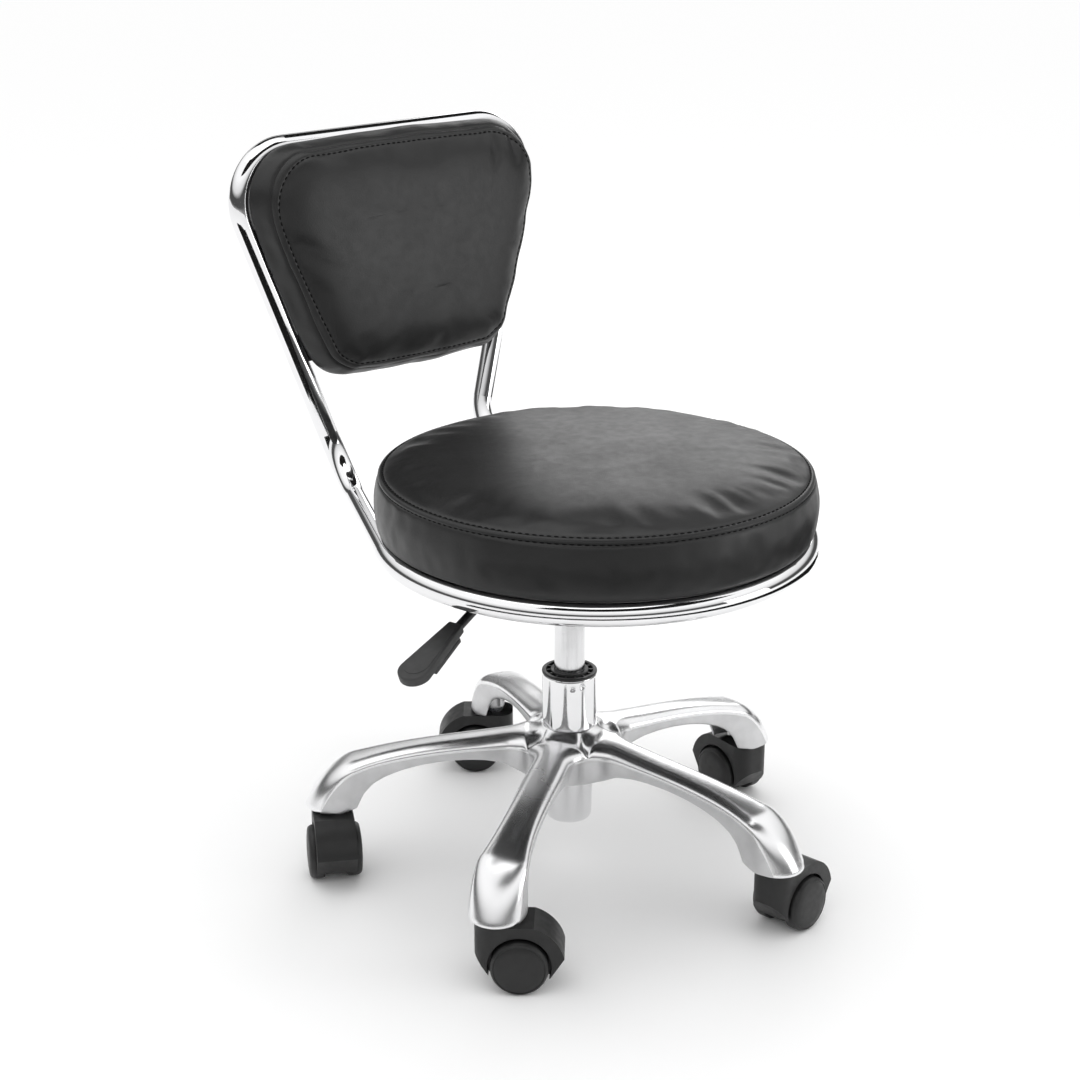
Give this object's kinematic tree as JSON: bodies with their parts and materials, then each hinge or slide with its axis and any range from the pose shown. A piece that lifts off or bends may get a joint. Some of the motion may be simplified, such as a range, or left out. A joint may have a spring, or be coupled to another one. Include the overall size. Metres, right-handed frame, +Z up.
{
  "type": "rolling stylist stool",
  "caption": "Rolling stylist stool: round padded seat and padded backrest on a bent chrome tube, gas lift, star base with twin-wheel casters.",
  "frame": {"origin": "on the floor under the gas lift's axis", "axes": "+Z up, the sitter faces -Y, the backrest is at +Y"},
  "size_m": [0.4865, 0.5227, 0.6646],
  "materials": {
    "base_casting": "polished top, matte underside",
    "lift_chrome": "bright chrome",
    "tube_chrome": "bright chrome",
    "zinc_steel": "zinc plated",
    "black_paint": "satin black powder coat",
    "black_plastic": "matte",
    "grip_plastic": "matte moulded",
    "caster_nylon": "satin moulded nylon",
    "bumper_rubber": "matte",
    "upholstery": "soft grained vinyl-coated fabric over foam",
    "plywood": "raw plywood"
  },
  "bodies": {
    "base": {"star_base": "base_casting", "gas_lift_outer_tube": "lift_chrome", "guide_bushing": "black_plastic", "thrust_bearing_lower_race": "zinc_steel", "thrust_bearing_balls": "zinc_steel", "caster_grip_rings": "zinc_steel"},
    "piston": {"piston_rod": "zinc_steel", "piston": "zinc_steel", "thrust_bearing_upper_race": "zinc_steel", "rod_retaining_clip": "zinc_steel", "bump_stop": "bumper_rubber"},
    "seat": {"gas_cylinder": "lift_chrome", "taper_socket": "black_paint", "mechanism_plate": "black_paint", "lever_bracket": "black_paint", "lever_pivot_pin": "zinc_steel", "mechanism_bolts": "zinc_steel", "seat_tee_nuts": "zinc_steel", "seat_strap_front": "black_paint", "seat_strap_rear": "black_paint", "seat_ring_tube": "tube_chrome", "back_loop_tube": "tube_chrome", "seat_board": "plywood", "seat_cushion": "upholstery", "back_strap_lower": "black_paint", "back_strap_upper": "black_paint", "back_board": "plywood", "back_cushion": "upholstery", "back_screws": "zinc_steel", "back_tee_nuts": "zinc_steel"},
    "release_pin": {"release_pin": "zinc_steel"},
    "lever": {"lever_rod": "black_paint", "lever_paddle": "grip_plastic"},
    "caster_right_rear": {"caster_right_rear_housing": "caster_nylon", "caster_right_rear_stem": "zinc_steel", "caster_right_rear_axle": "zinc_steel"},
    "caster_right_rear_wheel_a": {"caster_right_rear_wheel_a": "caster_nylon"},
    "caster_right_rear_wheel_b": {"caster_right_rear_wheel_b": "caster_nylon"},
    "caster_left_rear": {"caster_left_rear_housing": "caster_nylon", "caster_left_rear_stem": "zinc_steel", "caster_left_rear_axle": "zinc_steel"},
    "caster_left_rear_wheel_a": {"caster_left_rear_wheel_a": "caster_nylon"},
    "caster_left_rear_wheel_b": {"caster_left_rear_wheel_b": "caster_nylon"},
    "caster_left": {"caster_left_housing": "caster_nylon", "caster_left_stem": "zinc_steel", "caster_left_axle": "zinc_steel"},
    "caster_left_wheel_a": {"caster_left_wheel_a": "caster_nylon"},
    "caster_left_wheel_b": {"caster_left_wheel_b": "caster_nylon"},
    "caster_front": {"caster_front_housing": "caster_nylon", "caster_front_stem": "zinc_steel", "caster_front_axle": "zinc_steel"},
    "caster_front_wheel_a": {"caster_front_wheel_a": "caster_nylon"},
    "caster_front_wheel_b": {"caster_front_wheel_b": "caster_nylon"},
    "caster_right": {"caster_right_housing": "caster_nylon", "caster_right_stem": "zinc_steel", "caster_right_axle": "zinc_steel"},
    "caster_right_wheel_a": {"caster_right_wheel_a": "caster_nylon"},
    "caster_right_wheel_b": {"caster_right_wheel_b": "caster_nylon"}
  },
  "joints": [
    {"name": "column_swivel", "type": "hinge", "parent": "base", "child": "piston", "pos_m": [0, 0, 0.062], "axis": [0, 0, 1], "continuous": true},
    {"name": "seat_height", "type": "slide", "parent": "piston", "child": "seat", "axis": [0, 0, 1], "range_m": [0, 0.088]},
    {"name": "lever_tilt", "type": "hinge", "parent": "seat", "child": "lever", "pos_m": [-0.02898, -0.00777, 0.331], "axis": [-0.2588, 0.9659, 0], "range_deg": [0, 5], "stiffness_Nm_per_rad": 1, "springref_deg": -8.59},
    {"name": "release_pin_press", "type": "slide", "parent": "seat", "child": "release_pin", "axis": [0, 0, -1], "range_m": [0, 0.003]},
    {"name": "caster_right_rear_swivel", "type": "hinge", "parent": "base", "child": "caster_right_rear", "pos_m": [0.22269, -0.01167, 0.064], "axis": [0, 0, 1], "continuous": true},
    {"name": "caster_right_rear_wheel_a_spin", "type": "hinge", "parent": "caster_right_rear", "child": "caster_right_rear_wheel_a", "pos_m": [0.22444, 0.00825, 0.025], "axis": [-0.9962, 0.0872, 0], "continuous": true},
    {"name": "caster_right_rear_wheel_b_spin", "type": "hinge", "parent": "caster_right_rear", "child": "caster_right_rear_wheel_b", "pos_m": [0.22444, 0.00825, 0.025], "axis": [-0.9962, 0.0872, 0], "continuous": true},
    {"name": "caster_left_rear_swivel", "type": "hinge", "parent": "base", "child": "caster_left_rear", "pos_m": [0.07992, 0.20819, 0.064], "axis": [0, 0, 1], "continuous": true},
    {"name": "caster_left_rear_wheel_a_spin", "type": "hinge", "parent": "caster_left_rear", "child": "caster_left_rear_wheel_a", "pos_m": [0.06459, 0.22104, 0.025], "axis": [-0.6428, -0.766, 0], "continuous": true},
    {"name": "caster_left_rear_wheel_b_spin", "type": "hinge", "parent": "caster_left_rear", "child": "caster_left_rear_wheel_b", "pos_m": [0.06459, 0.22104, 0.025], "axis": [-0.6428, -0.766, 0], "continuous": true},
    {"name": "caster_left_swivel", "type": "hinge", "parent": "base", "child": "caster_left", "pos_m": [-0.1733, 0.14034, 0.064], "axis": [0, 0, 1], "continuous": true},
    {"name": "caster_left_wheel_a_spin", "type": "hinge", "parent": "caster_left", "child": "caster_left_wheel_a", "pos_m": [-0.1833, 0.12302, 0.025], "axis": [0.866, -0.5, 0], "continuous": true},
    {"name": "caster_left_wheel_b_spin", "type": "hinge", "parent": "caster_left", "child": "caster_left_wheel_b", "pos_m": [-0.1833, 0.12302, 0.025], "axis": [0.866, -0.5, 0], "continuous": true},
    {"name": "caster_front_swivel", "type": "hinge", "parent": "base", "child": "caster_front", "pos_m": [-0.18702, -0.12145, 0.064], "axis": [0, 0, 1], "continuous": true},
    {"name": "caster_front_wheel_a_spin", "type": "hinge", "parent": "caster_front", "child": "caster_front_wheel_a", "pos_m": [-0.17216, -0.13484, 0.025], "axis": [0.6691, 0.7431, 0], "continuous": true},
    {"name": "caster_front_wheel_b_spin", "type": "hinge", "parent": "caster_front", "child": "caster_front_wheel_b", "pos_m": [-0.17216, -0.13484, 0.025], "axis": [0.6691, 0.7431, 0], "continuous": true},
    {"name": "caster_right_swivel", "type": "hinge", "parent": "base", "child": "caster_right", "pos_m": [0.05772, -0.2154, 0.064], "axis": [0, 0, 1], "continuous": true},
    {"name": "caster_right_wheel_a_spin", "type": "hinge", "parent": "caster_right", "child": "caster_right_wheel_a", "pos_m": [0.07752, -0.21262, 0.025], "axis": [-0.1392, 0.9903, 0], "continuous": true},
    {"name": "caster_right_wheel_b_spin", "type": "hinge", "parent": "caster_right", "child": "caster_right_wheel_b", "pos_m": [0.07752, -0.21262, 0.025], "axis": [-0.1392, 0.9903, 0], "continuous": true}
  ],
  "couplings": [
    {"joint": "release_pin_press", "follows": "lever_tilt", "m_per_rad": 0.03}
  ]
}
